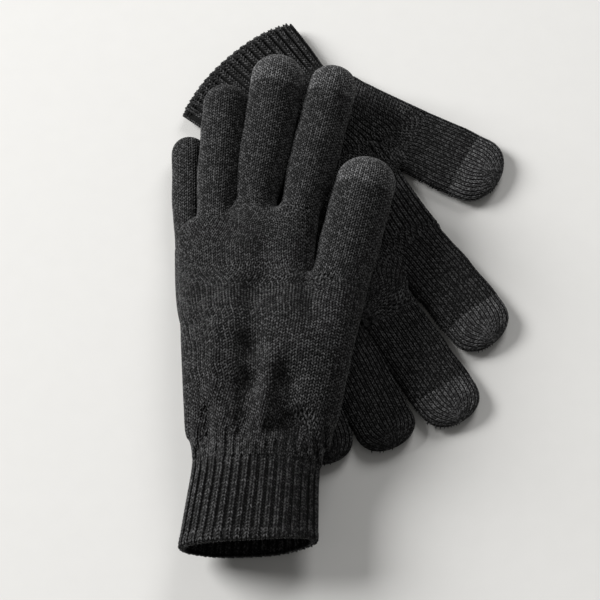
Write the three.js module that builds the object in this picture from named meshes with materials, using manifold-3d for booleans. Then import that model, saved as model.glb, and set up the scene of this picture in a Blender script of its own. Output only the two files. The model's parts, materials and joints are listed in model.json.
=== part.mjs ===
// A pair of knitted touchscreen gloves, laid one on the other with both palms up.
// The left glove lies flat and empty on the surface. The right glove lies across it and keeps the
// round shape of a hand. Each glove is a ribbed cuff with a hem and three elastic threads, a palm
// knitted as two sections, five digit sleeves, and conductive tips on thumb, index and middle.
// Units are millimetres, +Z is up, and the origin is under the middle of the pair, at its base.
import * as THREE from "three";
import { mergeVertices } from "three/addons/utils/BufferGeometryUtils.js";
import Module from "manifold-3d";

const wasm = await Module();
wasm.setup();

// ---- Sizes that both gloves share ----
const fabric = 2.1; // thickness of the knitted fabric
const gap = 0.4; // between pieces that meet, and between neighbouring digits
const elasticCount = 3; // covered elastic threads laid into each cuff
const elasticWidth = 1.2; // along the cuff
const elasticDepth = 0.8; // through the fabric
const elasticRoom = 0.3; // slack all round a thread in its channel
const hemLength = 4.0; // turned and overlocked edge at the mouth
const hemProud = 0.5; // how much thicker than the rib it is, inside and out
const taperLength = 24; // over which it reaches its full width
const digitLift = 0.25; // how far the digits of a flat glove clear the surface
const rootDraw = 0.84; // how far a digit's root is drawn in towards the palm's centre line
const sleeveSides = 12; // facets round a digit
const palmSides = 18; // facets round a palm or cuff
const capRings = 3; // rings in a rounded fingertip
const barrelProud = 0.1; // how far the rounded base of a folding digit stands out of its sleeve
const foldLimit = 70; // degrees that a digit folds up towards the palm

// ---- The right glove: round, as worn ----
const rightPalmLength = 113; // wrist to knuckles
const rightKnuckles = 32.5; // how far up the pair's layout the right glove's fingers start
const right = {
  name: "right",
  thumbSide: 1, // its thumb is on +X when the fingers point along +Y
  wrist: { x: -18.4, y: rightKnuckles - rightPalmLength, turn: 0 },
  cuffTurn: 5.3, // degrees that the cuff swings off the line of the hand
  cuffLength: 39.5,
  mouth: { w: 28.4, h: 14.3, z: 15.2 }, // half width, half height and height of the centre
  wristSize: { w: 27.4, h: 14.2, z: 17 },
  power: 2, // sections are ellipses
  floor: 0,
  baseTaper: 0.8, // a sleeve's width where it leaves the palm, to its full width
  palmLength: rightPalmLength,
  split: rightPalmLength - 33, // where the upper section starts, at the thumb's crotch
  // Palm sections: share of the palm's length, sideways, height, half width, half height, roll,
  // slant.
  palm: [
    [0.17, 0.5, 20.3, 28.8, 14.4, 3, 0],
    [0.4, 2.5, 22.2, 30.2, 13.5, 6, 0],
    [0.67, 6, 21.8, 29.3, 13, 8, 0],
    [0.88, 8.3, 20.2, 30.2, 11, 9, 0],
  ],
  knuckleCentre: 7.2, // towards the little finger, from the wrist's centre line
  tipLength: 18,
  rootLength: 34,
  digits: {
    index: { w: 10.4, h: 9.8, z: 22, length: 76, splay: 13.4, stagger: 0, folds: true, tip: true },
    middle: { w: 11.2, h: 10.2, z: 20.4, length: 79, splay: 8.8, stagger: 0, folds: true, tip: true },
    ring: { w: 9.2, h: 9.2, z: 19.2, length: 70, splay: 2.4, stagger: -7.4, folds: true },
    little: { w: 6.6, h: 7.8, z: 9.4, length: 55, splay: -0.6, stagger: -6.5, folds: true },
  },
  thumb: {
    w: 12.8, h: 11, z: 24.5, length: 64, splay: 13.4, folds: true, tip: true,
    along: rightPalmLength - 36, across: 35.5, rootAcross: 20, rootAlong: 16, rootZ: 21,
  },
};

// ---- The left glove: flat and empty, a little rucked along its length ----
const left = {
  name: "left",
  thumbSide: -1,
  wrist: { x: -9.8, y: 95.5, turn: -152 },
  cuffTurn: 16,
  cuffLength: 28,
  mouth: { w: 33.2, h: 4.1, z: 3.9 },
  wristSize: { w: 29.6, h: 4.1, z: 3.9 },
  power: 2.8, // sections are flattened ovals
  floor: 0,
  baseTaper: 0.86,
  palmLength: 89.7,
  split: 41,
  palm: [
    [0.2, 0, 3.9, 32, 4.1, 0, 0],
    [0.45, 2, 3.9, 36, 4.1, 0, 0],
    [0.72, 8, 3.9, 40, 4.1, 0, 4],
    [1, 16, 3.9, 42, 4.1, 0, 12],
  ],
  knuckleCentre: 15,
  tipLength: 19,
  rootLength: 43,
  digits: {
    index: { w: 14.4, h: 3.75, z: 3.85, length: 60, splay: 10.5, stagger: 0, folds: true, tip: true },
    middle: { w: 13.9, h: 3.7, z: 3.75, length: 56, splay: 3.5, stagger: 26, folds: true, tip: true },
    ring: { w: 13.4, h: 3.75, z: 3.8, length: 61, splay: -2, stagger: -7, folds: false },
    little: { w: 11.4, h: 3.6, z: 3.65, length: 55, splay: -8, stagger: 1, folds: false },
  },
  thumb: {
    w: 16.6, h: 3.7, z: 3.78, length: 44, splay: 34, folds: true, tip: true,
    along: 44.4, across: 46.8, rootAcross: 20, rootAlong: 12, rootZ: 3.8,
  },
};

// ---- Making solids ----
const radians = THREE.MathUtils.degToRad;

// A closed three.js geometry as a manifold-3d solid.
function solid(geometry) {
  const bare = geometry.index ? geometry.toNonIndexed() : geometry.clone();
  bare.deleteAttribute("normal");
  bare.deleteAttribute("uv");
  const merged = mergeVertices(bare, 1e-4);
  return new wasm.Manifold(
    new wasm.Mesh({
      numProp: 3,
      vertProperties: new Float32Array(merged.attributes.position.array),
      triVerts: new Uint32Array(merged.index.array),
    }),
  );
}

// The solid as a named three.js mesh.
function meshOf(name, made, material) {
  const { numProp, numVert, vertProperties, triVerts } = made.getMesh();
  const position = new Float32Array(numVert * 3);
  for (let i = 0; i < numVert; i++)
    position.set(vertProperties.subarray(i * numProp, i * numProp + 3), i * 3);
  const geometry = new THREE.BufferGeometry();
  geometry.setAttribute("position", new THREE.BufferAttribute(position, 3));
  geometry.setIndex(new THREE.BufferAttribute(new Uint32Array(triVerts), 1));
  geometry.computeVertexNormals();
  const mesh = new THREE.Mesh(geometry, material);
  mesh.name = name;
  return mesh;
}

// The biggest body of a solid, without the slivers that a cut can leave.
function largest(made) {
  return made.decompose().sort((a, b) => b.volume() - a.volume())[0];
}

// A section across a sleeve: its centre, heading in the plan (0 along +Y, positive towards +X),
// half width, half height and roll.
const section = (x, y, z, heading, w, h, roll = 0) => ({ x, y, z, heading, w, h, roll });

// Moves a section along its own heading.
const ahead = (s, distance) => ({
  ...s,
  x: s.x + distance * Math.sin(radians(s.heading)),
  y: s.y + distance * Math.cos(radians(s.heading)),
});

// A closed solid through a row of sections, each set inwards by inset. A cylinder's rings are
// moved onto the sections, as superellipses, and nothing reaches below the floor. A hollow is
// turned by half a facet, so that its corners fall between those of the wall round it.
function loft(sections, { inset = 0, power, floor, sides, hollow = false }) {
  const start = hollow ? Math.PI / sides : 0;
  const geometry = new THREE.CylinderGeometry(1, 1, 1, sides, sections.length - 1, false, start);
  const position = geometry.attributes.position;
  const bulge = (v) => Math.sign(v) * Math.abs(v) ** (2 / power);
  for (let i = 0; i < position.count; i++) {
    const s = sections[Math.round((position.getY(i) + 0.5) * (sections.length - 1))];
    const across = bulge(position.getX(i)) * Math.max(s.w - inset, 0.2);
    const rise = bulge(position.getZ(i)) * Math.max(s.h - inset, 0.2);
    const roll = radians(s.roll);
    const side = across * Math.cos(roll) - rise * Math.sin(roll);
    const up = across * Math.sin(roll) + rise * Math.cos(roll);
    const heading = radians(s.heading);
    position.setXYZ(
      i,
      s.x + side * Math.cos(heading),
      s.y - side * Math.sin(heading),
      Math.max(s.z + up, floor + inset),
    );
  }
  return solid(geometry);
}

// Adds smooth sections between the given ones.
function smooth(sections, steps) {
  const centres = new THREE.CatmullRomCurve3(
    sections.map((s) => new THREE.Vector3(s.x, s.y, s.z)),
  );
  const sizes = new THREE.CatmullRomCurve3(
    sections.map((s) => new THREE.Vector3(s.w, s.h, s.roll)),
  );
  return Array.from({ length: steps + 1 }, (_, i) => {
    const t = i / steps;
    const c = centres.getPoint(t);
    const size = sizes.getPoint(t);
    const k = t * (sections.length - 1);
    const j = Math.min(Math.floor(k), sections.length - 2);
    const heading = THREE.MathUtils.lerp(sections[j].heading, sections[j + 1].heading, k - j);
    return section(c.x, c.y, c.z, heading, size.x, size.y, size.z);
  });
}

// ---- Where the digits leave the palm ----
// The fingers stand side by side from the index to the little finger. Each is as far from the last
// as both widths and the gap need, at the base and where the sleeves reach their full width.
function layDigits(glove) {
  const names = Object.keys(glove.digits);
  const placed = {};
  let across = 0;
  let along = glove.palmLength;
  names.forEach((name, i) => {
    const d = glove.digits[name];
    if (i > 0) {
      const last = glove.digits[names[i - 1]];
      const spread = Math.tan(radians(last.splay)) - Math.tan(radians(d.splay));
      const atBase = (last.w + d.w) * glove.baseTaper;
      const atFull = last.w + d.w - taperLength * spread;
      const lean = Math.cos(radians((last.splay + d.splay) / 2));
      const pitch = (Math.max(atBase, atFull) + gap) / lean;
      across -= pitch;
      along += d.stagger + pitch * Math.sin(radians((last.splay + d.splay) / 2)) * 0.5;
    }
    placed[name] = { ...d, name: `${name}_finger`, across, along };
  });
  const first = placed[names[0]];
  const end = placed[names.at(-1)];
  const centre = (first.across + first.w * glove.baseTaper + end.across - end.w * glove.baseTaper) / 2;
  for (const d of Object.values(placed)) d.across -= centre + glove.knuckleCentre;
  return [...Object.values(placed), { ...glove.thumb, name: "thumb" }];
}

// A digit's sections from a start behind its base to its tip, drawn in by inset.
function digitSections(glove, d, from, inset = 0) {
  const base = baseOf(glove, d);
  const cap = Math.min(d.w, d.length / 2) - inset; // length of the rounded end
  const width = (s) => d.w * THREE.MathUtils.lerp(glove.baseTaper, 1, THREE.MathUtils.smoothstep(s, 0, taperLength));
  const straight = [from, 1, taperLength / 2, taperLength, d.length - inset - cap];
  const body = [...new Set(straight)]
    .filter((s) => s >= from && s <= d.length - inset - cap)
    .sort((a, b) => a - b)
    .map((s) => ({ ...ahead(base, s), w: width(s), h: d.h }));
  const rings = Array.from({ length: capRings }, (_, i) => {
    const turn = (((i + 1) / capRings) * Math.PI) / 2;
    const s = d.length - inset - cap + cap * Math.sin(turn);
    const closing = Math.cos(turn) ** (2 / glove.power);
    return {
      ...ahead(base, s),
      w: (d.w - inset) * closing + inset,
      h: (d.h - inset) * closing + inset,
    };
  });
  return [...body, ...rings];
}

// The section at a digit's base, on its fold line.
function baseOf(glove, d) {
  return section(
    glove.thumbSide * d.across, d.along, d.z,
    glove.thumbSide * d.splay,
    d.w * glove.baseTaper, d.h,
  );
}

// A bar along a digit's fold line, from an outline in the plane of forward and up.
function foldBar(glove, d, outline, halfLength = d.w + 6) {
  const bar = new THREE.ExtrudeGeometry(outline, { depth: 2 * halfLength, bevelEnabled: false, curveSegments: 4 });
  // The outline's x is forward and its y is up, and the bar runs across.
  const heading = radians(glove.thumbSide * d.splay);
  const forward = new THREE.Vector3(Math.sin(heading), Math.cos(heading), 0);
  const across = new THREE.Vector3().crossVectors(forward, new THREE.Vector3(0, 0, 1));
  const frame = new THREE.Matrix4().makeBasis(forward, new THREE.Vector3(0, 0, 1), across);
  const base = baseOf(glove, d);
  bar.translate(0, 0, -halfLength);
  bar.applyMatrix4(frame);
  bar.translate(base.x, base.y, base.z);
  return solid(bar);
}

// The space that a folding digit needs in the palm: a round seat about the fold line, open to the
// front, with its upper edge cut back to the line where the digit's top comes to rest.
function seatOf(glove, d) {
  const r = d.h + gap;
  const far = 4 * d.h;
  const top = Math.PI / 2 + radians(foldLimit);
  const outline = new THREE.Shape();
  outline.absarc(0, 0, r, -Math.PI / 2, top, true);
  outline.lineTo(
    r * Math.cos(top) + far * Math.cos(radians(foldLimit)),
    r * Math.sin(top) + far * Math.sin(radians(foldLimit)),
  );
  outline.lineTo(far, far);
  outline.lineTo(far, -far);
  outline.lineTo(0, -far);
  return foldBar(glove, d, outline);
}

// What rounds a folding digit's base: everything behind the fold line outside its barrel.
function barrelTrim(glove, d) {
  const far = 4 * d.h;
  const outline = new THREE.Shape();
  outline.moveTo(0, -far);
  outline.lineTo(0, -d.h - barrelProud);
  outline.absarc(0, 0, d.h + barrelProud, -Math.PI / 2, Math.PI / 2, true);
  outline.lineTo(0, far);
  outline.lineTo(-far, far);
  outline.lineTo(-far, -far);
  return foldBar(glove, d, outline);
}

// ---- Pieces ----
const yarn = new THREE.MeshStandardMaterial({ color: 0x1b1b1c, roughness: 0.95, metalness: 0 });
const ribYarn = new THREE.MeshStandardMaterial({ color: 0x18181a, roughness: 0.95, metalness: 0 });
const touchYarn = new THREE.MeshStandardMaterial({ color: 0x3a3a3b, roughness: 0.85, metalness: 0.1 });
const elastic = new THREE.MeshStandardMaterial({ color: 0x0c0c0c, roughness: 0.6, metalness: 0 });

// The box that takes what is ahead of a line across the hand.
function aheadOf(along, depth = 400) {
  const box = new THREE.BoxGeometry(600, depth, 200);
  box.translate(0, along + depth / 2, 0);
  return solid(box);
}

function palmOf(glove, digits) {
  const options = { power: glove.power, floor: glove.floor, sides: palmSides };
  const { w, h, z } = glove.wristSize;
  const main = smooth(
    [
      section(0, 0, z, 0, w, h),
      ...glove.palm.map(([share, aside, rise, width, height, roll, slant]) =>
        section(
          -glove.thumbSide * aside, share * glove.palmLength, rise, glove.thumbSide * slant,
          width, height, glove.thumbSide * roll,
        ),
      ),
    ],
    10,
  );
  // Each digit's root runs back from its base into the palm.
  const roots = digits.map((d) => {
    const base = baseOf(glove, d);
    const back = Math.min(glove.rootLength, d.along - 6);
    const start =
      d.name === "thumb"
        ? { ...base, x: glove.thumbSide * d.rootAcross, y: d.rootAlong, z: d.rootZ, w: d.w, h: d.h }
        : { ...ahead(base, -back), x: base.x * rootDraw, z: (d.z + main.at(-1).z) / 2 };
    return smooth([start, ahead(base, -8), base], 3);
  });
  const within = { ...options, inset: fabric, hollow: true };
  const small = { ...options, sides: sleeveSides, floor: glove.floor + digitLift };
  const smallWithin = { ...small, inset: fabric, hollow: true };
  let outer = loft(main, options);
  let inner = loft([ahead(main[0], -2), ...main.slice(1, -1), ahead(main.at(-1), -fabric)], within);
  roots.forEach((root, i) => {
    const d = digits[i];
    outer = outer.add(loft(root, small));
    const bore = [ahead(root[0], fabric), ...root.slice(1), ahead(root.at(-1), 2)];
    inner = inner.add(loft(bore, smallWithin));
    if (!d.folds) outer = outer.subtract(aheadOfBase(glove, d));
  });
  let shell = outer.subtract(inner);
  for (const d of digits) if (d.folds) shell = shell.subtract(seatOf(glove, d));
  const upper = aheadOf(glove.split + gap);
  const thumbRoot = loft(
    roots.at(-1).map((s) => ({ ...s, w: s.w + gap, h: s.h + gap })),
    small,
  );
  return {
    lower: largest(shell.subtract(aheadOf(glove.split).subtract(thumbRoot))),
    upper: largest(shell.intersect(upper).subtract(thumbRoot)),
  };
}

// What lies in front of a fixed digit's base, less the gap to the digit.
function aheadOfBase(glove, d) {
  const outline = new THREE.Shape();
  outline.moveTo(-gap, -30);
  outline.lineTo(30, -30);
  outline.lineTo(30, 30);
  outline.lineTo(-gap, 30);
  return foldBar(glove, d, outline, d.w * glove.baseTaper + gap / 2);
}

function sleeveOf(glove, d) {
  const options = { power: glove.power, floor: glove.floor + digitLift, sides: sleeveSides };
  const from = d.folds ? -d.h : 0;
  const outer = loft(digitSections(glove, d, from), options);
  const within = { ...options, inset: fabric, hollow: true };
  const inner = loft(digitSections(glove, d, from - 2, fabric), within);
  let whole = outer.subtract(inner);
  if (d.folds) whole = whole.subtract(barrelTrim(glove, d));
  if (!d.tip) return [[d.name, whole, yarn]];
  const cut = (distance) => {
    const outline = new THREE.Shape();
    outline.moveTo(distance, -60);
    outline.lineTo(distance + 60, -60);
    outline.lineTo(distance + 60, 60);
    outline.lineTo(distance, 60);
    return foldBar(glove, d, outline);
  };
  const seam = d.length - glove.tipLength;
  return [
    [d.name, whole.subtract(cut(seam)), yarn],
    [d.name.replace("_finger", "") + "_tip", whole.intersect(cut(seam + gap)), touchYarn],
  ];
}

function cuffOf(glove) {
  const options = { power: glove.power, floor: glove.floor, sides: palmSides };
  const turn = glove.thumbSide * glove.cuffTurn;
  const at = (distance) => {
    const t = distance / glove.cuffLength;
    const mix = (key) => THREE.MathUtils.lerp(glove.wristSize[key], glove.mouth[key], t);
    const waist = glove.wristSize.w + (glove.mouth.w - glove.wristSize.w) * t * t;
    return section(
      -distance * Math.sin(radians(turn)), -distance * Math.cos(radians(turn)), mix("z"),
      turn * Math.min(1, t * 3), waist, mix("h"),
    );
  };
  const band = (from, to, outside, inside) => {
    const steps = to - from > 8 ? 4 : 1;
    const stations = Array.from({ length: steps + 1 }, (_, i) => at(to + ((from - to) * i) / steps));
    const ends = [ahead(stations[0], -1), ...stations.slice(1, -1), ahead(stations.at(-1), 1)];
    const floor = glove.floor - Math.min(outside, 0);
    return loft(stations, { ...options, inset: outside, floor }).subtract(
      loft(ends, { ...options, inset: inside, hollow: true }),
    );
  };
  const hemStart = glove.cuffLength - hemLength;
  let rib = band(gap, hemStart - gap, 0, fabric);
  const pieces = [];
  for (let i = 0; i < elasticCount; i++) {
    const middle = (hemStart * (i + 1)) / (elasticCount + 1);
    const half = elasticWidth / 2;
    const outside = fabric - elasticDepth - elasticRoom;
    rib = rib.subtract(band(middle - half - elasticRoom, middle + half + elasticRoom, outside - elasticRoom, fabric + 1));
    pieces.push([`cuff_elastic_${i + 1}`, band(middle - half, middle + half, outside, outside + elasticDepth), elastic]);
  }
  const hem = band(hemStart, glove.cuffLength, -hemProud, fabric + hemProud);
  return [["cuff_rib", rib, ribYarn], ["cuff_hem", hem, ribYarn], ...pieces];
}

function gloveOf(glove) {
  const digits = layDigits(glove);
  const palm = palmOf(glove, digits);
  const group = new THREE.Group();
  const pieces = [
    ["lower_palm", palm.lower, yarn],
    ["upper_palm", palm.upper, yarn],
    ...cuffOf(glove),
    ...digits.flatMap((d) => sleeveOf(glove, d)),
  ];
  for (const [name, made, material] of pieces) group.add(meshOf(`${glove.name}_${name}`, made, material));
  group.position.set(glove.wrist.x, glove.wrist.y, 0);
  group.rotation.z = radians(glove.wrist.turn);
  return group;
}

// ---- The pair, with its origin under its middle ----
const pair = new THREE.Group();
pair.add(gloveOf(left), gloveOf(right));
const extent = new THREE.Box3().setFromObject(pair, true);
const centre = extent.getCenter(new THREE.Vector3());
pair.position.set(-centre.x, -centre.y, -extent.min.z);

export default pair;
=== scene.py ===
import json
import math

import bpy
import numpy as np
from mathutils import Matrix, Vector


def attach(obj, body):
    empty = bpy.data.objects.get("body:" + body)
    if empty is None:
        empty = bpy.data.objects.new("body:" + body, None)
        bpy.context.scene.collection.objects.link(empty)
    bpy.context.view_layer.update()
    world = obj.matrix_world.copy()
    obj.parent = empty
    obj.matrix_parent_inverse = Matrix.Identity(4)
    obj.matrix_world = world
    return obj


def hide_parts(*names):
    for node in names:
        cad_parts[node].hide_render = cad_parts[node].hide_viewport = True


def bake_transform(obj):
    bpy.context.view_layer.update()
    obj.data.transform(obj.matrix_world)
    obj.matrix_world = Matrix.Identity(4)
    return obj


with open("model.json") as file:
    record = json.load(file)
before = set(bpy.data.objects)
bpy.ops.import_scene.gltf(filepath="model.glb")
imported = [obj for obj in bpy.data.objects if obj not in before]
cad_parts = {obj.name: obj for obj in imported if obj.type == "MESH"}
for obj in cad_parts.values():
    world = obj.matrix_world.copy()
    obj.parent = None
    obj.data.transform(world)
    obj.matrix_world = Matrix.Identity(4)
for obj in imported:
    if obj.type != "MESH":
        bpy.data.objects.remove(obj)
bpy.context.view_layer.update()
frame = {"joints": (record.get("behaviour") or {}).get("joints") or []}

# ---- Camera, floor and studio light ----
# The pair lies on a sheet of pale paper. One big soft lamp stands low on its left, and a weaker
# one behind it lights what the first leaves dark. The room gives a little light from all round.
aim = Vector((-0.0165, -0.0082, 0.0))
tilt = math.radians(67)  # how steeply the camera looks down
lens = bpy.data.cameras.new("camera")
lens.lens = 133.33
lens.sensor_width = 36
camera = bpy.data.objects.new("camera", lens)
bpy.context.collection.objects.link(camera)
camera.location = aim + Vector((0, -math.cos(tilt), math.sin(tilt)))
camera.rotation_euler = (math.pi / 2 - tilt, 0, 0)
bpy.context.scene.camera = camera
bpy.context.scene.view_settings.view_transform = "Standard"


def feed(tree, node, inputs):
    """Sets a node's inputs, each to a value or by a link from another node's output."""
    for name, value in inputs.items():
        if isinstance(value, bpy.types.NodeSocket):
            tree.links.new(value, node.inputs[name])
        else:
            node.inputs[name].default_value = value


def add_node(tree, kind, inputs=None, **settings):
    """A new node with its settings made and its inputs fed."""
    node = tree.nodes.new(kind)
    for key, value in settings.items():
        setattr(node, key, value)
    feed(tree, node, inputs or {})
    return node


world = bpy.data.worlds.new("studio")
world.use_nodes = True
room = world.node_tree
dim = room.nodes["Background"]
feed(room, dim, {"Color": (1, 0.995, 0.98, 1), "Strength": 0.16})
backdrop = add_node(room, "ShaderNodeBackground", {"Color": (0.9, 0.89, 0.86, 1)})
seen = add_node(room, "ShaderNodeLightPath")
either = add_node(
    room,
    "ShaderNodeMixShader",
    {
        "Fac": seen.outputs["Is Camera Ray"],
        1: dim.outputs["Background"],
        2: backdrop.outputs["Background"],
    },
)
feed(room, room.nodes["World Output"], {"Surface": either.outputs["Shader"]})
bpy.context.scene.world = world


def lamp(name, place, size, power):
    """A round soft lamp that shines at the gloves."""
    light = bpy.data.lights.new(name, "AREA")
    light.shape = "DISK"
    light.size = size
    light.energy = power
    holder = bpy.data.objects.new(name, light)
    holder.location = Vector(place)
    holder.rotation_euler = (aim - holder.location).to_track_quat("-Z", "Y").to_euler()
    bpy.context.collection.objects.link(holder)


lamp("key lamp", (-2.55, 1.0, 1.42), 1.7, 152)
lamp("fill lamp", (0.9, 2.2, 1.9), 1.6, 32)

paper = bpy.data.materials.new("floor paper")
paper.use_nodes = True
grain = add_node(paper.node_tree, "ShaderNodeTexNoise", {"Scale": 900})
tone = add_node(paper.node_tree, "ShaderNodeValToRGB", {"Fac": grain.outputs["Fac"]})
tone.color_ramp.elements[0].color = (0.765, 0.757, 0.735, 1)
tone.color_ramp.elements[1].color = (0.79, 0.782, 0.76, 1)
feed(
    paper.node_tree,
    paper.node_tree.nodes["Principled BSDF"],
    {"Roughness": 0.9, "Base Color": tone.outputs["Color"]},
)
sheet = bpy.data.meshes.new("floor")
sheet.from_pydata([(-4, -4, 0), (4, -4, 0), (4, 4, 0), (-4, 4, 0)], [], [(0, 1, 2, 3)])
sheet.materials.append(paper)
floor = bpy.data.objects.new("floor", sheet)
bpy.context.collection.objects.link(floor)

# ---- The right glove's palm ----
# One knitted tube of black acrylic yarn, in stocking stitch, from the wrist to the finger crotches.
# It is knitted as a lower section with the thumb's root and an upper section for four fingers.
# Sizes are in millimetres. Along runs from the wrist to the fingers, and across to the thumb.
wale = 2.05  # one stitch across
course = 1.4  # one stitch along
wall = 1.3  # the fabric under the loops
wall_depth = 0.35  # how far the wall lies under the middle of the loops
loop_height = 0.5  # half a loop's thickness
loop_sink = 0.1  # how far a loop sits into the surface
root_length, root_cap = 2.6, 3.6  # how far a sleeve's root stands out of the palm, and its rounding
palm_front = 12  # over which the palm rounds off past the knuckles
gather_pitch, gather_reach = 4.1, 9  # the ripple where the rib draws the palm in


def unit(angle):
    """A level direction, so many degrees clockwise from the row's y."""
    return np.array([math.sin(math.radians(angle)), math.cos(math.radians(angle)), 0.0])


def fold_line(joint_name):
    """Where a sleeve folds, and the way the sleeve points, from the joint of that name."""
    joint = next(j for j in frame["joints"] if j["name"] == joint_name)
    axis = joint["axis"]
    return np.array(joint["pos_m"]) * 1000, np.array([-axis[1], axis[0], 0.0])


def melt(a, b, reach):
    """The smaller of two distances, rounded over where they meet."""
    mix = np.clip(0.5 + 0.5 * (b - a) / reach, 0, 1)
    return b + (a - b) * mix - reach * mix * (1 - mix)


def ease(t):
    """From 0 to 1 with a soft start and end."""
    t = np.clip(t, 0, 1)
    return t * t * (3 - 2 * t)


def bell(reach):
    """Weights that add up to 1, for smoothing over so many places on each side."""
    weights = np.hanning(2 * reach + 3)[1:-1]
    return weights / weights.sum()


def digit_space(points, digit):
    """Distance along a digit's sleeve, across it and above its spine."""
    offset = points - digit["base"]
    way = digit["way"]
    along = offset @ way
    across = offset[..., 0] * way[1] - offset[..., 1] * way[0]
    t = along / digit["length"]
    return along, across - digit["bow"] * t * t, offset[..., 2] - digit["rise"] * t


def digit_shape(points, digit, reach, cap):
    """Below zero inside a digit's sleeve that ends at reach with a rounded end of length cap."""
    along, across, above = digit_space(points, digit)
    grow = digit["neck"] + (1 - digit["neck"]) * ease(along / digit["swell"])
    crease = np.cos(along * 0.33 + digit["phase"]) * ease(along / 20)
    grow = grow * (1 + 0.012 * crease)
    half_width = digit["half_width"] * grow
    half_height = digit["half_height"] * (0.5 + 0.5 * grow)
    power = digit["power"]
    ring = np.abs(across / half_width) ** power + np.abs(above / half_height) ** power
    ring = ring ** (1 / power)
    front = np.clip(along - (reach - cap), 0, None) / cap
    back = np.clip(-digit["root"] - along, 0, None) / digit["fade"]
    roundness = 2.15
    whole = (ring ** roundness + front ** roundness + back ** roundness) ** (1 / roundness)
    return (whole - 1) * np.minimum(half_width, half_height)


def palm_place(points, glove):
    """Distance along the palm, across it to the thumb, and above the floor."""
    offset = points - glove["wrist"]
    return offset @ glove["up_hand"], offset @ glove["to_thumb"], points[..., 2]


def at_station(glove, key, along):
    """One size of the palm at a distance along it."""
    return np.interp(along, glove["fine"]["along"], glove["fine"][key])


def settle(glove):
    """Rounds the glove's few palm sections into a smooth run."""
    stations = np.array(glove["palm"], float)
    step, beyond, reach = 0.5, 30, 20
    along = np.arange(stations[0, 0] - beyond, stations[-1, 0] + beyond, step)
    kernel = np.hanning(2 * reach + 1)
    kernel /= kernel.sum()
    glove["fine"] = {"along": along}
    for i, key in enumerate(["aside", "z", "half_width", "half_height", "roll"]):
        run = np.interp(along, stations[:, 0], stations[:, i + 1])
        glove["fine"][key] = np.convolve(np.pad(run, reach, mode="edge"), kernel, mode="valid")


def hand_shape(points, glove):
    """Below zero inside the palm, without the digits."""
    along, across, height = palm_place(points, glove)
    roll = np.radians(at_station(glove, "roll", along))
    side = across - at_station(glove, "aside", along)
    above = height - at_station(glove, "z", along)
    turned_side = side * np.cos(roll) + above * np.sin(roll)
    raised = -side * np.sin(roll) + above * np.cos(roll)
    half_width = at_station(glove, "half_width", along)
    half_height = at_station(glove, "half_height", along)
    power = glove["power"]
    ring = np.abs(turned_side / half_width) ** power + np.abs(raised / half_height) ** power
    ring = ring ** (1 / power)
    front = np.clip(along - glove["knuckles"], 0, None) / palm_front
    roundness = 2.2
    whole = (ring ** roundness + front ** roundness) ** (1 / roundness)
    shape = (whole - 1) * np.minimum(half_width, half_height)
    top = ease(raised / half_height * 1.6)
    for a0, c0, a1, c1, breadth, depth in glove["folds"]:
        run = np.array([a1 - a0, c1 - c0])
        t = ((along - a0) * run[0] + (across - c0) * run[1]) / (run @ run + 1e-9)
        t = np.clip(t, 0, 1)
        off = np.hypot(along - a0 - t * run[0], across - c0 - t * run[1])
        shape = shape + depth * np.exp(-((off / breadth) ** 2)) * top
    gather = np.exp(-np.clip(along, 0, None) / gather_reach)
    return shape + glove["gather"] * gather * np.cos(across * 2 * math.pi / gather_pitch)


def palm_shape(points, glove):
    """The palm with the roots of its digits, which end just past the fold lines."""
    shape = hand_shape(points, glove)
    for digit in glove["digits"].values():
        shape = melt(shape, digit_shape(points, digit, root_length, root_cap), digit["web"])
    return np.maximum(shape, glove["floor"] - points[..., 2])


def sleeve_shape(points, glove, digit):
    """A digit's whole sleeve, melting into the palm behind its fold line."""
    shape = digit_shape(points, digit, digit["length"], digit["cap"])
    behind = np.maximum(hand_shape(points, glove), 0.4 * digit_space(points, digit)[0] + 0.6)
    shape = melt(shape, behind, digit["web"])
    return np.maximum(shape, glove["floor"] - points[..., 2])


def cast(shape, origins, directions, far):
    """The points where rays from inside a shape reach its surface."""
    low = np.zeros(origins.shape[:-1])
    high = np.full(origins.shape[:-1], float(far))
    out = np.zeros(origins.shape[:-1], bool)
    for reach in np.arange(1.0, far, 1.0):
        beyond = shape(origins + directions * reach) >= 0
        high = np.where(beyond & ~out, reach, high)
        out |= beyond
        low = np.where(out, low, reach)
        if out.all():
            break
    for _ in range(11):
        middle = (low + high) / 2
        inside = shape(origins + directions * middle[..., None]) < 0
        low = np.where(inside, middle, low)
        high = np.where(inside, high, middle)
    return origins + directions * ((low + high) / 2)[..., None]


def rings(shape, spine, forward, side, begin, end, step, far, flat):
    """Rows of surface points round a spine, closed over the end by rows that fan forwards."""
    turns = np.linspace(0, 2 * math.pi, 361)
    up = np.cross(forward, side)
    around = np.cos(turns)[:, None] * side + flat * np.sin(turns)[:, None] * up
    around /= np.linalg.norm(around, axis=1)[:, None]
    starts = np.arange(begin, end, step)
    fan = np.radians(np.concatenate([np.arange(4, 84, 4), [84, 87, 89.2]]))
    origins = np.array([spine(s) for s in starts] + [spine(end)] * len(fan))[:, None, :]
    tilts = np.concatenate([np.zeros(len(starts)), fan])[:, None, None]
    directions = np.cos(tilts) * around[None] + np.sin(tilts) * forward
    return cast(shape, np.broadcast_to(origins, directions.shape), directions, far)


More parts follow.
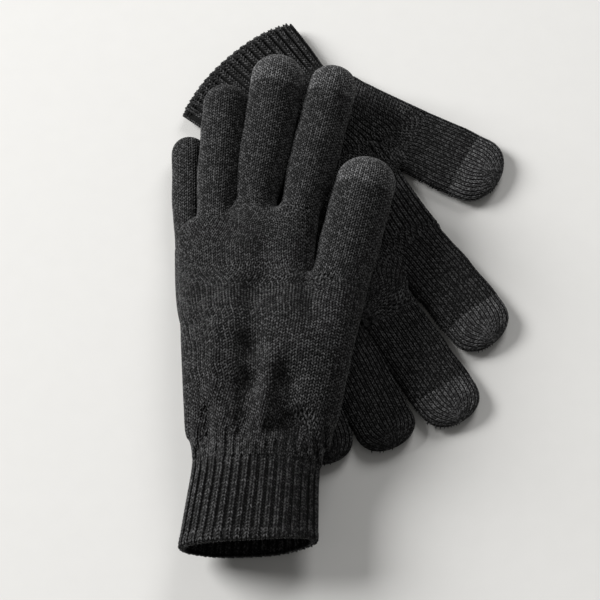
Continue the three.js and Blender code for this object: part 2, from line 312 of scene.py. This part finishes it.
def even(rows, columns, spacing):
    """The same surface on a knitter's grid: so many columns, and rows by spacing. A column keeps
    its share of the way round from row to row, so that it runs straight."""
    steps = np.linalg.norm(np.diff(rows, axis=1), axis=2)
    share = np.concatenate([np.zeros((len(rows), 1)), np.cumsum(steps, axis=1)], axis=1)
    share /= share[:, -1:]
    reach = min(6, len(rows) // 2)
    padded = np.pad(share, ((reach, reach), (0, 0)), mode="edge")
    share = sum(weight * padded[i : i + len(rows)] for i, weight in enumerate(bell(reach)))
    wanted = np.linspace(0, 1, columns + 1)[:-1]
    grid = np.empty((len(rows), columns, 3))
    for i, run in enumerate(share):
        for axis in range(3):
            grid[i, :, axis] = np.interp(wanted, run, rows[i, :, axis])
    gaps = np.linalg.norm(np.diff(grid, axis=0), axis=2).mean(axis=1)
    travel = np.concatenate([[0], np.cumsum(gaps)])
    count = max(2, int(round(travel[-1] / spacing)) + 1)
    wanted = np.linspace(0, travel[-1], count)
    out = np.empty((count, columns, 3))
    for column in range(columns):
        for axis in range(3):
            out[:, column, axis] = np.interp(wanted, travel, grid[:, column, axis])
    return out


def facing(grid):
    """Unit vectors across, along and out of a grid of surface points, and its two spacings."""
    across = np.roll(grid, -1, axis=1) - np.roll(grid, 1, axis=1)
    along = np.gradient(grid, axis=0) * 2
    width = np.linalg.norm(across, axis=2) / 2
    height = np.linalg.norm(along, axis=2) / 2
    across = across / np.maximum(width * 2, 1e-6)[..., None]
    out = np.cross(across, along)
    out /= np.maximum(np.linalg.norm(out, axis=2), 1e-6)[..., None]
    along = np.cross(out, across)
    return across, along, out, width, height


def walled(name, grid, tip=False):
    """A closed wall of fabric: the grid outside, a copy inside it, and rims at the open ends."""
    inner = grid - facing(grid)[2] * wall
    count, columns = grid.shape[:2]
    points = [grid.reshape(-1, 3), inner.reshape(-1, 3)]
    shift = count * columns
    beside = [(c, (c + 1) % columns) for c in range(columns)]
    faces = []
    for r in range(count - 1):
        for c, d in beside:
            near, far = r * columns, (r + 1) * columns
            a, b, e, f = near + c, near + d, far + d, far + c
            faces.append((a, b, e, f))
            faces.append((shift + f, shift + e, shift + b, shift + a))
    smooth_faces = len(faces)
    faces += [(shift + c, shift + d, d, c) for c, d in beside]
    last = (count - 1) * columns
    if tip:
        outer_pole, inner_pole = 2 * shift, 2 * shift + 1
        points.append(grid[-1].mean(axis=0, keepdims=True))
        points.append(inner[-1].mean(axis=0, keepdims=True))
        for c, d in beside:
            faces.append((last + c, last + d, outer_pole))
            faces.append((shift + last + d, shift + last + c, inner_pole))
    else:
        faces += [(last + c, last + d, shift + last + d, shift + last + c) for c, d in beside]
    mesh = bpy.data.meshes.new(name)
    mesh.from_pydata((np.concatenate(points) / 1000).tolist(), [], faces)
    mesh.polygons.foreach_set("use_smooth", [i < smooth_faces for i in range(len(faces))])
    mesh.update()
    return mesh


def maths(tree, operation, a, b):
    return add_node(tree, "ShaderNodeMath", {0: a, 1: b}, operation=operation).outputs[0]


def vector(tree, x, y, z):
    return add_node(tree, "ShaderNodeCombineXYZ", {0: x, 1: y, 2: z}).outputs[0]


def stitch_tree():
    """One V-shaped loop of yarn on every point: two plump legs that lean together, set out by the
    point's turn and size."""
    tree = bpy.data.node_groups.new("knit loops", "GeometryNodeTree")
    tree.interface.new_socket("Geometry", in_out="INPUT", socket_type="NodeSocketGeometry")
    for label in ("Loop Width", "Loop Height", "Yarn Height", "Lean"):
        tree.interface.new_socket(label, in_out="INPUT", socket_type="NodeSocketFloat")
    tree.interface.new_socket("Yarn", in_out="INPUT", socket_type="NodeSocketMaterial")
    tree.interface.new_socket("Geometry", in_out="OUTPUT", socket_type="NodeSocketGeometry")
    given = add_node(tree, "NodeGroupInput").outputs
    result = add_node(tree, "NodeGroupOutput")

    # One leg is a lengthened ball. Crown is 0 at its foot and 1 at its top; the yarn colour paints
    # shade towards the foot by it.
    ball = add_node(tree, "GeometryNodeMeshUVSphere", {"Segments": 4, "Rings": 3, "Radius": 1})
    laid = add_node(
        tree, "GeometryNodeTransform",
        {"Rotation": (math.pi / 2, 0, 0), "Geometry": ball.outputs["Mesh"]},
    )
    where = add_node(tree, "GeometryNodeInputPosition")
    split = add_node(tree, "ShaderNodeSeparateXYZ", {"Vector": where.outputs["Position"]})
    rise = maths(tree, "MULTIPLY", maths(tree, "ADD", split.outputs["Z"], 1.0), 0.5)
    crown = add_node(
        tree, "GeometryNodeStoreNamedAttribute",
        {"Name": "crown", "Geometry": laid.outputs["Geometry"], "Value": rise},
    )
    leg_size = vector(
        tree,
        maths(tree, "MULTIPLY", given["Loop Width"], 0.27),
        maths(tree, "MULTIPLY", given["Loop Height"], 0.84),
        given["Yarn Height"],
    )
    leg = add_node(
        tree, "GeometryNodeTransform", {"Geometry": crown.outputs["Geometry"], "Scale": leg_size}
    )
    legs = add_node(tree, "GeometryNodeJoinGeometry")
    for hand in (1, -1):
        aside = maths(tree, "MULTIPLY", given["Loop Width"], 0.235 * hand)
        lean = maths(tree, "MULTIPLY", given["Lean"], -hand)
        placed = add_node(
            tree, "GeometryNodeTransform",
            {
                "Geometry": leg.outputs["Geometry"],
                "Translation": vector(tree, aside, 0, 0),
                "Rotation": vector(tree, 0, 0, lean),
            },
        )
        feed(tree, legs, {"Geometry": placed.outputs["Geometry"]})

    # A copy of the loop goes on every point, and each copy draws its own ply.
    marks = {
        label: add_node(
            tree, "GeometryNodeInputNamedAttribute", {"Name": label}, data_type="FLOAT_VECTOR"
        ).outputs["Attribute"]
        for label in ("turn", "size")
    }
    rotation = add_node(tree, "FunctionNodeEulerToRotation", {"Euler": marks["turn"]})
    place = add_node(
        tree, "GeometryNodeInstanceOnPoints",
        {
            "Points": given["Geometry"],
            "Instance": legs.outputs["Geometry"],
            "Rotation": rotation.outputs["Rotation"],
            "Scale": marks["size"],
        },
    )
    chance = add_node(tree, "FunctionNodeRandomValue", {"Seed": 7})
    ply = add_node(
        tree, "GeometryNodeStoreNamedAttribute",
        {"Name": "ply", "Geometry": place.outputs["Instances"], "Value": chance.outputs[1]},
        domain="INSTANCE",
    )
    real = add_node(tree, "GeometryNodeRealizeInstances", {"Geometry": ply.outputs["Geometry"]})
    smooth = add_node(tree, "GeometryNodeSetShadeSmooth", {"Geometry": real.outputs["Geometry"]})
    paint = add_node(
        tree, "GeometryNodeSetMaterial",
        {"Geometry": smooth.outputs["Geometry"], "Material": given["Yarn"]},
    )
    feed(tree, result, {"Geometry": paint.outputs["Geometry"]})
    return tree


knit_loops = stitch_tree()


def turned(across, along, out):
    """Euler angles of frames whose x, y and z are these unit vectors."""
    m = np.stack([across, along, out], axis=-1)
    y = np.arcsin(np.clip(-m[:, 2, 0], -1, 1))
    x = np.arctan2(m[:, 2, 1], m[:, 2, 2])
    z = np.arctan2(m[:, 1, 0], m[:, 0, 0])
    return np.stack([x, y, z], axis=1)


def knit(name, points, across, along, out, width, height, yarn, depth, lean, sink):
    """A mesh of yarn loops at the points, as wide and as high as told there."""
    seats = bpy.data.meshes.new(name)
    seats.from_pydata(((points - out * sink) / 1000).tolist(), [], [])
    spans = np.clip(np.stack([width / wale, height / course], axis=1), 0.3, 1.8)
    plumpness = np.clip(width / wale, 0.45, 1.15)[:, None]
    marks = {"turn": turned(across, along, out), "size": np.hstack([spans, plumpness])}
    for label, values in marks.items():
        mark = seats.attributes.new(label, "FLOAT_VECTOR", "POINT")
        mark.data.foreach_set("vector", values.astype(np.float32).ravel())
    holder = bpy.data.objects.new(name, seats)
    bpy.context.collection.objects.link(holder)
    modifier = holder.modifiers.new("knit loops", "NODES")
    modifier.node_group = knit_loops
    wanted = {
        "Loop Width": wale / 1000,
        "Loop Height": course / 1000,
        "Yarn Height": depth / 1000,
        "Lean": lean,
        "Yarn": yarn,
    }
    for item in knit_loops.interface.items_tree:
        if item.in_out == "INPUT" and item.name in wanted:
            modifier[item.identifier] = wanted[item.name]
    evaluated = holder.evaluated_get(bpy.context.evaluated_depsgraph_get())
    made = bpy.data.meshes.new_from_object(evaluated)
    bpy.data.objects.remove(holder)
    return made


def strand_effect():
    """Spun yarn: painted shade between the strands, dark at the foot of each loop leg and lighter
    at its crown, its plies changing tone from stitch to stitch, with fine fibres along them."""
    group = bpy.data.node_groups.new("spun yarn", "ShaderNodeTree")
    for label in ("Shade", "Middle", "Glint"):
        group.interface.new_socket(label, in_out="INPUT", socket_type="NodeSocketColor")
    for label in ("Crown", "Ply", "Patch Scale", "Fibre Scale"):
        group.interface.new_socket(label, in_out="INPUT", socket_type="NodeSocketFloat")
    group.interface.new_socket("Color", in_out="OUTPUT", socket_type="NodeSocketColor")
    group.interface.new_socket("Fibre Height", in_out="OUTPUT", socket_type="NodeSocketFloat")
    given = add_node(group, "NodeGroupInput").outputs
    result = add_node(group, "NodeGroupOutput")
    place = add_node(group, "ShaderNodeTexCoord").outputs["Object"]

    def noise(scale):
        inputs = {"Detail": 2, "Roughness": 0.6, "Vector": place, "Scale": scale}
        return add_node(group, "ShaderNodeTexNoise", inputs).outputs["Fac"]

    def spread(value, low, high):
        inputs = {"From Min": low, "From Max": high, "Value": value}
        return add_node(group, "ShaderNodeMapRange", inputs).outputs["Result"]

    def mixed(factor, a, b):
        inputs = {"Factor": factor, "A": a, "B": b}
        return add_node(group, "ShaderNodeMix", inputs, data_type="RGBA").outputs["Result"]

    patches = maths(group, "MULTIPLY", spread(noise(given["Patch Scale"]), 0.32, 0.68), 0.75)
    plies = maths(group, "MULTIPLY", given["Ply"], 0.25)
    bright = spread(maths(group, "ADD", patches, plies), 0.42, 0.76)
    strand = mixed(bright, given["Middle"], given["Glint"])
    # Painted shade: the colour runs from the dark Shade tone at a leg's foot up to the strand tone
    # at its crown.
    color = mixed(spread(given["Crown"], 0.42, 0.98), given["Shade"], strand)
    feed(group, result, {"Color": color, "Fibre Height": noise(given["Fibre Scale"])})
    return group


spun_yarn = strand_effect()


def yarn_finish(name, painted_shade_and_plain_tone, middle, glint, roughness, sheen):
    """Spun acrylic yarn of one colour, with painted shade at its loops' feet and on bare wall."""
    material = bpy.data.materials.new(name)
    material.use_nodes = True
    tree = material.node_tree
    marks = {
        mark: add_node(tree, "ShaderNodeAttribute", attribute_name=mark).outputs["Fac"]
        for mark in ("crown", "ply")
    }
    effect = add_node(
        tree, "ShaderNodeGroup",
        {
            # Painted shade: the darkest tone, laid at the feet of the loops and on the bare wall
            # between them.
            "Shade": (painted_shade_and_plain_tone, painted_shade_and_plain_tone, painted_shade_and_plain_tone, 1),
            "Middle": (middle, middle, middle * 1.02, 1),
            "Glint": (glint, glint, glint * 1.01, 1),
            "Patch Scale": 1000,
            "Fibre Scale": 2600,
            "Crown": marks["crown"],
            "Ply": marks["ply"],
        },
        node_tree=spun_yarn,
    )
    bump = add_node(
        tree, "ShaderNodeBump",
        {"Strength": 0.5, "Distance": 0.0002, "Height": effect.outputs["Fibre Height"]},
    )
    feed(
        tree, tree.nodes["Principled BSDF"],
        {
            "Roughness": roughness,
            "Specular IOR Level": 0.3,
            "Sheen Weight": sheen,
            "Sheen Roughness": 0.5,
            "Base Color": effect.outputs["Color"],
            "Normal": bump.outputs["Normal"],
        },
    )
    return material


black_yarn = yarn_finish("black yarn", 0.001, 0.003, 0.11, 0.8, 0.02)


def listed(items, key, kind, each=1):
    """One property of all of a mesh's items."""
    values = np.empty(len(items) * each, kind)
    items.foreach_get(key, values)
    return values


def piece(name, meshes, material):
    """One finished object from its wall and its loops."""
    places, corners, starts, smooth = [], [], [], []
    marks = {"crown": [], "ply": []}
    point_count = corner_count = 0
    for mesh in meshes:
        places.append(listed(mesh.vertices, "co", np.float32, 3))
        corners.append(listed(mesh.loops, "vertex_index", np.int32) + point_count)
        starts.append(listed(mesh.polygons, "loop_start", np.int32) + corner_count)
        smooth.append(listed(mesh.polygons, "use_smooth", bool))
        for mark, values in marks.items():
            if mark in mesh.attributes:
                values.append(listed(mesh.attributes[mark].data, "value", np.float32))
            else:
                # The bare wall has no crown and gets 0, so it is painted in the dark shade tone
                # between the loops.
                values.append(np.zeros(len(mesh.vertices), np.float32))
        point_count += len(mesh.vertices)
        corner_count += len(mesh.loops)
    starts = np.concatenate(starts)
    merged = bpy.data.meshes.new(name)
    merged.vertices.add(point_count)
    merged.vertices.foreach_set("co", np.concatenate(places))
    merged.loops.add(corner_count)
    merged.loops.foreach_set("vertex_index", np.concatenate(corners))
    merged.polygons.add(len(starts))
    merged.polygons.foreach_set("loop_start", starts)
    merged.update(calc_edges=True)
    merged.polygons.foreach_set("use_smooth", np.concatenate(smooth))
    for mark, values in marks.items():
        added = merged.attributes.new(mark, "FLOAT", "POINT")
        added.data.foreach_set("value", np.concatenate(values))
    merged.materials.append(material)
    for mesh in meshes:
        bpy.data.meshes.remove(mesh)
    merged.validate()
    made = bpy.data.objects.new(name, merged)
    bpy.context.collection.objects.link(made)
    return made


def stitched(name, grid, keep, yarn, glove, tip=False):
    """A wall of fabric and the loops on it where keep is true, but not where the grid is pinched or
    torn wide."""
    across, along, out, width, height = facing(grid)
    chosen = keep & (width > 0.12) & (width < 5.5)
    loops = knit(
        name + " loops", grid[chosen], across[chosen], along[chosen], out[chosen],
        width[chosen] * glove["open"], height[chosen], yarn,
        loop_height, glove["lean"], loop_sink,
    )
    fabric = walled(name + " wall", grid - out * wall_depth, tip)
    return piece(name, [fabric, loops], yarn)


def palm_pieces(glove):
    """The two palm sections, cut apart at the split."""
    settle(glove)

    def spine(s):
        aside, z = at_station(glove, "aside", s), at_station(glove, "z", s)
        lift = np.array([0, 0, z])
        return glove["wrist"] + glove["up_hand"] * s + glove["to_thumb"] * aside + lift

    rows = rings(
        lambda p: palm_shape(p, glove), spine, glove["up_hand"], glove["side"],
        -3, glove["knuckles"] - 10, 0.7, 75, glove["flat"],
    )
    grid = even(rows, glove["columns"], course)
    keep = np.ones(grid.shape[:2], bool)
    for digit in glove["digits"].values():
        past_fold = digit_space(grid, digit)[0] > 0.2
        keep &= ~(past_fold & (sleeve_shape(grid, glove, digit) < 0.15))
    cut = int(np.argmax(palm_place(grid, glove)[0].mean(axis=1) > glove["split"]))
    name = glove["name"] + "_lower_palm"
    lower = stitched(name + "_knit", grid[: cut + 1], keep[: cut + 1], black_yarn, glove)
    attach(lower, glove["body"])
    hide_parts(name)
    keep[cut] = False
    name = glove["name"] + "_upper_palm"
    upper = stitched(name + "_knit", grid[cut:], keep[cut:], black_yarn, glove, True)
    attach(upper, glove["body"])
    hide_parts(name)


def digit_entry(base, way, half_width, half_height, length, **extra):
    """One digit's sizes. Neck is its width at the palm as a share of its full width, which it
    reaches over swell; root and fade say how far it runs back into the palm."""
    entry = {
        "base": np.array(base, float), "way": np.array(way, float),
        "half_width": half_width, "half_height": half_height, "length": length,
        "neck": 0.8, "swell": 24.0, "cap": half_width * 1.05, "rise": 0.0, "bow": 0.0,
        "root": 26.0, "fade": 30.0, "web": 5.0, "power": 2.0, "phase": 0.0,
    }
    entry.update(extra)
    return entry


right_digits = {}
for key, half_width, half_height, length, extra in (
    ("thumb", 13.2, 11.0, 64, {"neck": 0.94, "rise": -1.0, "bow": 0.5, "root": 34.0}),
    ("index finger", 10.7, 9.8, 76, {"rise": -0.5, "phase": 1.0}),
    ("middle finger", 11.6, 10.3, 79, {"rise": 0.5, "phase": 2.2, "neck": 0.76}),
    ("ring finger", 9.8, 9.2, 70, {"rise": 0.3, "phase": 3.1, "neck": 0.84, "bow": 0.8}),
    (
        "little finger", 7.8, 7.9, 55,
        {
            "rise": -0.6, "phase": 4.0, "neck": 0.8, "bow": -0.6, "root": 2.0, "fade": 40.0,
            "web": 2.0,
        },
    ),
):
    base, way = fold_line(f"right {key} fold")
    right_digits[key.replace(" ", "_")] = digit_entry(
        base, way, half_width, half_height, length, **extra
    )
# The two outer sleeves lie nearer the thumb than their fold lines.
right_digits["little_finger"]["base"] += np.array([4.2, 0, 0])
right_digits["ring_finger"]["base"] += np.array([1.6, 0, 0])

right = {
    "name": "right", "body": "right glove", "wrist": np.array([-34.9, -88.7, 0.0]), "floor": -5.0,
    "up_hand": np.array([0.0, 1.0, 0.0]), "to_thumb": np.array([1.0, 0.0, 0.0]),
    "side": np.array([1.0, 0.0, 0.0]), "power": 2.0, "flat": 0.75, "digit_flat": 1.0,
    "open": 1.0, "lean": 0.45, "gather": 0.55,
    "knuckles": 104, "split": 80, "columns": 72, "digits": right_digits,
    # Palm sections: along, aside, height, half width, half height, roll.
    "palm": [
        [-6, 0.3, 17.0, 26.0, 14.0, 0], [0, 0.6, 17.4, 27.6, 14.2, 1],
        [10, 1.3, 18.6, 31.8, 14.8, 2], [22, 2.1, 20.3, 33.6, 15.0, 3],
        [40, -0.3, 22.0, 32.5, 14.8, 6], [62, -3.1, 21.9, 31.0, 13.8, 8],
        [84, -5.2, 20.8, 30.3, 12.0, 9], [100, -6.6, 20.2, 29.6, 11.0, 9],
        [112, -7.4, 20.0, 29.0, 10.4, 9],
    ],
    # Soft folds of the palm: from along and across, to along and across, breadth, depth.
    "folds": [
        [54, -19.0, 8, -18.4, 3.4, -1.6], [17, -20.6, 6, -20.2, 3.2, 3.0],
        [72, -1.5, 46, -3.0, 6.2, 3.4], [46, -3.0, 30, -3.4, 5.6, 4.2],
        [30, -3.4, 9, -5.6, 4.8, 3.2], [40, 6.5, 14, 2.2, 3.4, -1.8],
        [27, 12.2, 10, 15.6, 6.6, 4.3], [8, 6.0, 14, 18.0, 3.0, 1.8],
        [44, 20.5, 50, 20.5, 8.0, -2.0], [62, 13.5, 64, 14.0, 7.0, -1.2],
        [36, 27.0, 12, 22.0, 3.6, 1.4], [92, 2.0, 68, 7.0, 5.0, 1.4],
        [90, -22, 60, -27, 3.6, 1.2], [80, -12, 70, -14, 5.0, -0.8],
    ],
}
palm_pieces(right)


# ---- The right glove's digit sleeves ----
# Each sleeve is knitted on from stitches held at the palm's edge, as a narrow tube that is gathered
# closed at the end. Thumb, index and middle finger end in a tip of conductive grey yarn.
conductive_yarn = yarn_finish("conductive grey yarn", 0.006, 0.034, 0.24, 0.7, 0.04)


def digit_pieces(glove, key, body, columns, tip_length=None):
    """A sleeve that bends out of the palm, and its conductive tip if it has one."""
    digit = glove["digits"][key]
    base, way, length = digit["base"], digit["way"], digit["length"]
    side = np.array([way[1], -way[0], 0.0])

    def spine(s):
        t = s / length
        return base + way * s + side * digit["bow"] * t * t + np.array([0, 0, digit["rise"] * t])

    rows = rings(
        lambda p: sleeve_shape(p, glove, digit), spine, way, side,
        -0.8, length - digit["cap"] * 1.02, 0.6, 40, glove["digit_flat"],
    )
    grid = even(rows, columns, course)
    along = digit_space(grid, digit)[0]
    keep = (along > 0.1) & (palm_shape(grid, glove) > -0.8)
    name = glove["name"] + "_" + key
    whole = tip_length is None
    cut = len(grid) if whole else int(np.argmax(along.mean(axis=1) > length - tip_length))
    sleeve = stitched(
        name + "_knit", grid[: cut + 1], keep[: cut + 1], black_yarn, glove, whole
    )
    if body != glove["body"]:
        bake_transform(sleeve)
    else:
        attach(sleeve, body)
    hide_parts(name)
    if not whole:
        tip_name = glove["name"] + "_" + key.replace("_finger", "") + "_tip"
        keep[cut] = False
        thimble = stitched(
            tip_name + "_knit", grid[cut:], keep[cut:], conductive_yarn, glove, True
        )
        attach(thimble, body)
        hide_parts(tip_name)


digit_pieces(right, "thumb", "right thumb", 36, 18.5)
digit_pieces(right, "index_finger", "right index finger", 31, 18)
digit_pieces(right, "middle_finger", "right middle finger", 33, 18)
digit_pieces(right, "ring_finger", "right ring finger", 29)
digit_pieces(right, "little_finger", "right little finger", 24)


# ---- The right glove's cuff ----
# One-by-one rib in the same black yarn, which springs in and stands up in round ridges. Its edge
# is turned and overlocked into a soft hem, and three covered elastic threads run round inside.
rib_yarn = yarn_finish("black rib yarn", 0.001, 0.0035, 0.115, 0.8, 0.02)
# The elastic thread has no loops, so it takes the darkest tone whole as its own colour.
elastic_thread = yarn_finish("covered elastic", 0.006, 0.012, 0.02, 0.6, 0.0)
hem_long = 4.0
rib_steps = 8  # grid columns from one rib to the next
thread_sides = 6
thread_thick, thread_wide = 0.4, 0.6  # half sizes


def cuff_section(cuff, distance):
    """One ring round the cuff, so far from the wrist. The mouth is worn a little wavy."""
    turns = np.linspace(0, 2 * math.pi, 721)
    t = distance / cuff["length"]
    stations = [0, 0.25, 0.6, 1]
    w, h, z = (np.interp(t, stations, cuff[key]) for key in ("w", "h", "z"))
    power = cuff["power"]
    x = np.sign(np.cos(turns)) * np.abs(np.cos(turns)) ** (2 / power) * w
    y = np.sign(np.sin(turns)) * np.abs(np.sin(turns)) ** (2 / power) * h
    edge = cuff["edge"] * ((x / w) ** 2) * t ** 3
    back_by = distance - cuff["slant"] * (x[:, None] / w) * t * t
    x = x + cuff["lean"] * t
    back, up = cuff["back"], np.array([0.0, 0.0, 1.0])
    ring = cuff["wrist"] + back * back_by + cuff["side"] * x[:, None]
    ring = ring + up * (y + z)[:, None] - back * edge[:, None]
    wave = cuff["wave"] * np.sin(turns * 3 + 0.7) * t * t
    wave = wave + 0.5 * cuff["wave"] * np.sin(turns * 7) * t * t
    ring = ring + up * wave[:, None]
    ring[:, 2] = np.maximum(ring[:, 2], cuff["floor"])
    return ring


def elastic_threads(cuff, grid, along, out, run):
    """Three flat rings of covered thread inside the rib."""
    for i in range(3):
        row = int(np.argmax(run > (cuff["length"] - hem_long) * (i + 1) / 4))
        outward, heading = out[row][::2], along[row][::2]
        centre = (grid[row] - out[row] * (wall + 0.25))[::2]
        count = len(centre)
        thread = np.empty((count, thread_sides, 3))
        for k in range(thread_sides):
            angle = k * 2 * math.pi / thread_sides
            thread[:, k] = centre + outward * thread_thick * math.cos(angle)
            thread[:, k] += heading * thread_wide * math.sin(angle)
        faces = []
        for c in range(count):
            near, far = c * thread_sides, (c + 1) % count * thread_sides
            for k in range(thread_sides):
                after = (k + 1) % thread_sides
                faces.append((near + k, near + after, far + after, far + k))
        name = f"{cuff['name']}_cuff_elastic_{i + 1}"
        mesh = bpy.data.meshes.new(name + "_thread")
        mesh.from_pydata((thread.reshape(-1, 3) / 1000).tolist(), [], faces)
        mesh.polygons.foreach_set("use_smooth", [True] * len(faces))
        mesh.materials.append(elastic_thread)
        made = bpy.data.objects.new(name + "_thread", mesh)
        bpy.context.collection.objects.link(made)
        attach(made, cuff["body"])
        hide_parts(name)


def cuff_pieces(cuff):
    """Rib, hem and elastic threads round one wrist."""
    long, tuck = cuff["length"], cuff["tuck"]
    columns = cuff["ribs"] * rib_steps
    rows = np.array([cuff_section(cuff, d) for d in np.arange(-tuck, long + 0.01, 0.7)])
    grid = even(rows, columns, 0.9)
    across, along, out = facing(grid)[:3]
    far = np.linalg.norm(np.diff(grid, axis=0), axis=2).mean(axis=1)
    run = np.concatenate([[0], np.cumsum(far)])
    run = run / run[-1] * (long + tuck) - tuck

    # The ridges rise from the wrist on, sink at the hem, and the lip rolls in.
    ridge = np.cos(np.arange(columns) / rib_steps * 2 * math.pi)
    ridge = np.sign(ridge) * np.abs(ridge) ** 0.8
    fade = ease(run / 12)[:, None]
    hem = ease((run - (long - hem_long - 1)) / 1.5)[:, None]
    lift = cuff["proud"] * ridge[None] * fade * (1 - 0.45 * hem) + 0.35 * hem
    lip_roll = 1.6
    roll_in = np.clip((run - (long - lip_roll)) / lip_roll, 0, 1)[:, None]
    lift = lift - 1.1 * (1 - np.sqrt(np.clip(1 - roll_in ** 2, 0, 1)))
    surface = grid + out * lift[..., None]
    surface[..., 2] = np.maximum(surface[..., 2], cuff["floor"])
    hem_row = int(np.argmax(run > long - hem_long))

    def rib_loops(label, rows_chosen, inward):
        """Loops on the ridges, and smaller ones in the furrows between."""
        made = []
        last = min(run[rows_chosen.stop - 1], long - 0.7)
        wanted = np.arange(run[rows_chosen.start], last, course)
        furrow = cuff["furrow"]
        for offset, size, depth in ((0, 1.14, 0.6), (rib_steps // 2, furrow, 0.5 * furrow)):
            if inward:
                offset = (offset + rib_steps // 2) % rib_steps
            places, sides, alongs, outs = [], [], [], []
            for c in range(offset, columns, rib_steps):
                track, normal = (
                    np.stack([np.interp(wanted, run, of[:, c, k]) for k in range(3)], axis=1)
                    for of in (surface, out)
                )
                normal /= np.linalg.norm(normal, axis=1)[:, None]
                heading = np.gradient(track, axis=0)
                heading /= np.maximum(np.linalg.norm(heading, axis=1), 1e-6)[:, None]
                if inward:
                    track = track - normal * wall
                    normal = -normal
                sideways = np.cross(heading, normal)
                places.append(track)
                sides.append(sideways)
                alongs.append(np.cross(normal, sideways))
                outs.append(normal)
            places, sides = np.concatenate(places), np.concatenate(sides)
            alongs, outs = np.concatenate(alongs), np.concatenate(outs)
            wide = np.full(len(places), wale * size)
            high = np.full(len(places), course * 1.02)
            made.append(
                knit(
                    f"{label} {offset}", places, sides, alongs, outs, wide, high,
                    rib_yarn, depth, 0.45, 0.15,
                )
            )
        return made

    def lip_loops(label):
        """A row of loops over the lip of the hem."""
        spots = slice(0, columns, rib_steps // 2)
        places = (surface[-1] - out[-1] * (wall * 0.5))[spots]
        wide = np.full(len(places), wale * 0.9)
        high = np.full(len(places), wall * 1.25)
        return knit(
            label, places, across[-1][spots], -out[-1][spots], along[-1][spots], wide, high,
            rib_yarn, 0.6, 0.4, 0.1,
        )

    lining_rows = 34  # how far in the rib's inside can be seen
    for part, rows_of, inner_rows in (
        ("cuff_rib", slice(0, hem_row + 1), slice(max(0, hem_row - lining_rows), hem_row + 1)),
        ("cuff_hem", slice(hem_row, len(surface)), slice(hem_row, len(surface))),
    ):
        name = cuff["name"] + "_" + part
        meshes = [walled(name + " wall", surface[rows_of])]
        meshes += rib_loops(name + " loops", rows_of, False)
        if cuff["lined"]:
            meshes += rib_loops(name + " inner loops", inner_rows, True)
        if part == "cuff_hem":
            meshes.append(lip_loops(name + " lip loops"))
        made = piece(name + "_knit", meshes, rib_yarn)
        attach(made, cuff["body"])
        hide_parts(name)
    elastic_threads(cuff, grid, along, out, run)


right_back = -unit(5.3)
cuff_pieces(
    {
        "name": "right", "body": "right glove", "wrist": right["wrist"],
        "back": right_back, "side": np.array([-right_back[1], right_back[0], 0.0]),
        "length": 40.5, "slant": 4.4, "lean": 0.0, "proud": 0.48, "furrow": 0.85, "tuck": 4.0,
        "ribs": 36, "power": 2.1, "edge": 1.5, "wave": 0.5, "floor": 0.7, "lined": True,
        "w": [27.0, 26.6, 27.6, 28.6], "h": [14.0, 14.0, 14.2, 14.4],
        "z": [17.0, 16.4, 15.8, 15.4],
    }
)


# ---- The left glove ----
# The other glove of the pair, empty and pressed flat, so its palm and sleeves are flattened ovals
# a few millimetres thick. It is knitted in the same way, with the same conductive tips.
left_wrist = np.array([-26.3, 87.3, 0.0])
left_up = unit(152)
left_across = np.array([-left_up[1], left_up[0], 0.0])
left_power, left_web = 2.5, 2.2
left_digits = {}
for key, half_width, half_height, length, extra in (
    ("thumb", 16.6, 4.3, 44, {"neck": 0.97, "swell": 14.0, "root": 34.0, "cap": 14.0}),
    ("index finger", 15.0, 4.3, 60, {"neck": 0.98, "cap": 13.0, "bow": 2.4}),
    ("middle finger", 14.3, 4.2, 57.5, {"neck": 0.97, "cap": 12.5, "bow": -0.8}),
):
    base, way = fold_line(f"left {key} fold")
    left_digits[key.replace(" ", "_")] = digit_entry(
        base, way, half_width, half_height, length, power=left_power, web=left_web, **extra
    )
# Ring and little finger lie under the other glove and have no fold of their own.
for key, along, across, heading, half_width, half_height, length in (
    ("ring_finger", 110.4, -30.6, 154.0, 13.6, 4.2, 61),
    ("little_finger", 110.4, -52.3, 160.0, 12.2, 4.1, 55),
):
    base = left_wrist + left_up * along + left_across * across + np.array([0, 0, 3.9])
    left_digits[key] = digit_entry(
        base, unit(heading), half_width, half_height, length,
        power=left_power, neck=0.95, cap=11.5, web=left_web,
    )

left = {
    "name": "left", "body": "left glove", "wrist": left_wrist, "floor": 0.55,
    "up_hand": left_up, "to_thumb": left_across, "side": -left_across,
    "power": left_power, "flat": 0.25, "digit_flat": 0.25, "open": 0.8, "lean": 0.28, "gather": 0.3,
    "knuckles": 96, "split": 41, "columns": 78, "digits": left_digits,
    "palm": [
        [-6, 0, 4.2, 29.4, 4.2, 0], [0, 0, 4.2, 29.4, 4.2, 0], [18, 0, 4.3, 32, 4.3, 0],
        [40, -2, 4.3, 36, 4.3, 0], [64, -8, 4.3, 40, 4.3, 0], [90, -16, 4.2, 42, 4.2, 0],
        [104, -18, 4.1, 41, 4.1, 0],
    ],
    "folds": [[60, 24, 84, 12, 4.0, 0.8], [30, 30, 52, 22, 4.0, 0.7], [20, 0, 60, -10, 5.0, 0.6]],
}
palm_pieces(left)
digit_pieces(left, "thumb", "left thumb", 38, 19)
digit_pieces(left, "index_finger", "left index finger", 34, 19)
digit_pieces(left, "middle_finger", "left middle finger", 33, 19)
digit_pieces(left, "ring_finger", "left glove", 32)
digit_pieces(left, "little_finger", "left glove", 28)
left_back = -unit(136)
cuff_pieces(
    {
        "name": "left", "body": "left glove", "wrist": left_wrist,
        "back": left_back, "side": np.array([-left_back[1], left_back[0], 0.0]),
        "length": 34.5, "slant": 0.0, "lean": 0.3, "proud": 0.9, "furrow": 0.5, "tuck": 3.0,
        "ribs": 36, "power": 2.5, "edge": 6.5, "wave": 0.35, "floor": 0.7, "lined": False,
        "w": [29.4, 30.4, 32.4, 33.9], "h": [4.2, 4.2, 4.3, 4.4], "z": [4.3, 4.3, 4.4, 4.6],
    }
)
